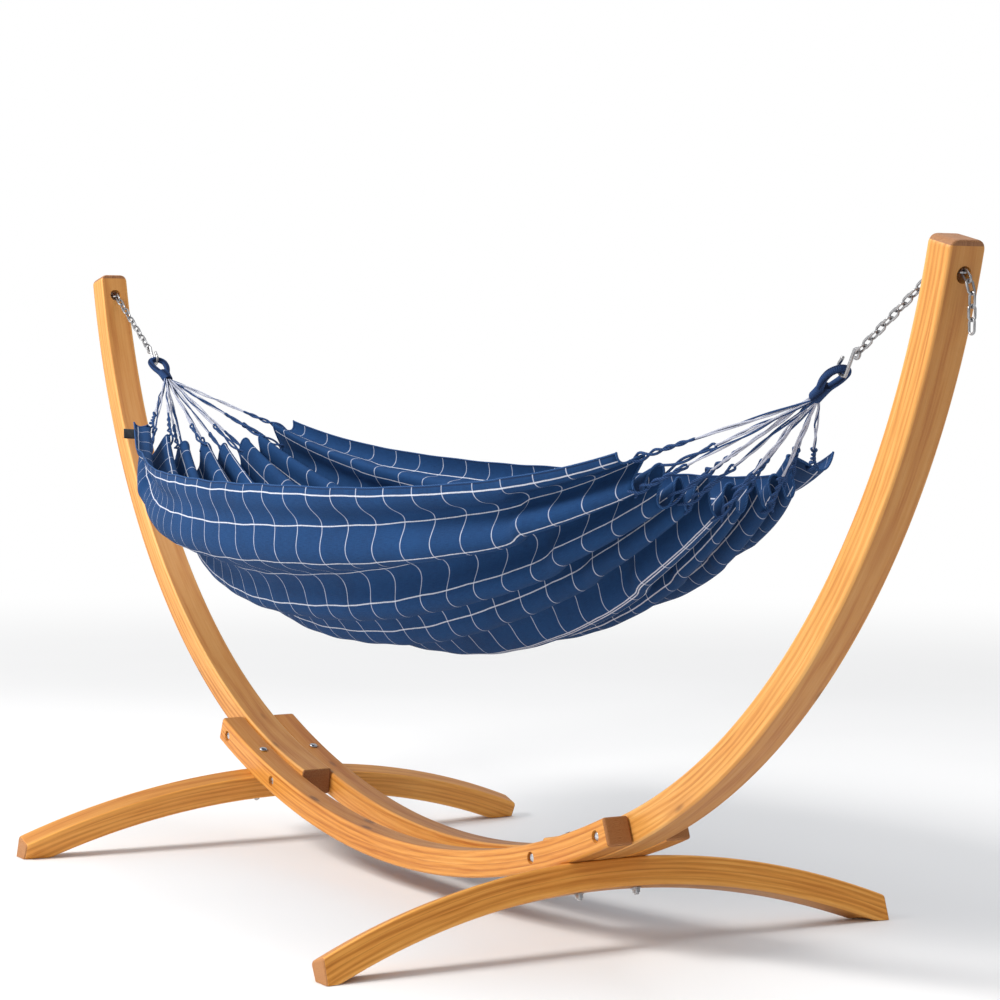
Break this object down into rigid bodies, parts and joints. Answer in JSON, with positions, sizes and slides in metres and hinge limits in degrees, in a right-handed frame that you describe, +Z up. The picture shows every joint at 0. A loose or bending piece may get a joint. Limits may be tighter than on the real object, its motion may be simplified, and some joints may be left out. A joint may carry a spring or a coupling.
{
  "type": "hammock on stand",
  "caption": "Gathered-end checked cloth hammock hung by chains and hooks between the curved arms of a laminated wooden arc stand with arched feet.",
  "frame": {"origin": "on the ground under the middle of the stand", "axes": "+X along the stand, from its left arm to its right arm, +Y across it to the back, +Z up"},
  "size_m": [3.7238, 1.32, 1.3879],
  "materials": {
    "oiled_larch": "satin oiled laminated softwood, honey coloured",
    "stainless_steel": "satin",
    "galvanised_steel": "bright zinc",
    "navy_check_cloth": "matt weave with fine pale window check",
    "navy_cord": "matt twisted cord, navy with pale strands",
    "dark_tag": "matt, blank"
  },
  "bodies": {
    "stand": {"side_beam_front": "oiled_larch", "side_beam_back": "oiled_larch", "arm_left": "oiled_larch", "arm_right": "oiled_larch", "foot_left": "oiled_larch", "foot_right": "oiled_larch", "cross_bolt_upper_left": "stainless_steel", "cross_bolt_upper_right": "stainless_steel", "cross_bolt_lower_left": "stainless_steel", "cross_bolt_lower_right": "stainless_steel", "cross_washer_upper_left": "stainless_steel", "cross_washer_upper_right": "stainless_steel", "cross_washer_lower_left": "stainless_steel", "cross_washer_lower_right": "stainless_steel", "cross_nut_upper_left": "stainless_steel", "cross_nut_upper_right": "stainless_steel", "cross_nut_lower_left": "stainless_steel", "cross_nut_lower_right": "stainless_steel", "foot_bolt_front_left": "stainless_steel", "foot_bolt_front_right": "stainless_steel", "foot_bolt_back_left": "stainless_steel", "foot_bolt_back_right": "stainless_steel", "foot_washer_front_left": "stainless_steel", "foot_washer_front_right": "stainless_steel", "foot_washer_back_left": "stainless_steel", "foot_washer_back_right": "stainless_steel", "foot_nut_front_left": "stainless_steel", "foot_nut_front_right": "stainless_steel", "foot_nut_back_left": "stainless_steel", "foot_nut_back_right": "stainless_steel", "chain_pin_left": "galvanised_steel", "chain_pin_right": "galvanised_steel", "chain_anchor_left": "galvanised_steel", "chain_anchor_right": "galvanised_steel"},
    "left_chain": {"chain_left": "galvanised_steel", "hook_left": "galvanised_steel"},
    "right_chain": {"chain_right": "galvanised_steel", "hook_right": "galvanised_steel"},
    "left_tail": {"chain_tail_left": "galvanised_steel"},
    "right_tail": {"chain_tail_right": "galvanised_steel"},
    "hammock": {"cloth": "navy_check_cloth", "tag": "dark_tag", "eye_left": "navy_cord", "eye_right": "navy_cord", "cords_left": "navy_cord", "cords_right": "navy_cord"}
  },
  "joints": [
    {"name": "left_chain_swing", "type": "hinge", "parent": "stand", "child": "left_chain", "pos_m": [-1.76243, 0, 1.32907], "axis": [1, 0, 0], "range_deg": [-12, 12]},
    {"name": "hammock_rock", "type": "hinge", "parent": "left_chain", "child": "hammock", "pos_m": [-1.49401, 0, 1.15476], "axis": [1, 0, 0], "range_deg": [-18, 18]},
    {"name": "right_chain_swing", "type": "hinge", "parent": "stand", "child": "right_chain", "pos_m": [1.76243, 0, 1.32907], "axis": [1, 0, 0], "range_deg": [-12, 12]},
    {"name": "left_tail_swing", "type": "hinge", "parent": "stand", "child": "left_tail", "pos_m": [-1.83171, 0, 1.32062], "axis": [1, 0, 0], "range_deg": [-14, 14]},
    {"name": "right_tail_swing", "type": "hinge", "parent": "stand", "child": "right_tail", "pos_m": [1.83171, 0, 1.32062], "axis": [1, 0, 0], "range_deg": [-14, 14]}
  ],
  "couplings": [
    {"joint": "right_chain_swing", "follows": "left_chain_swing", "ratio": 1}
  ]
}
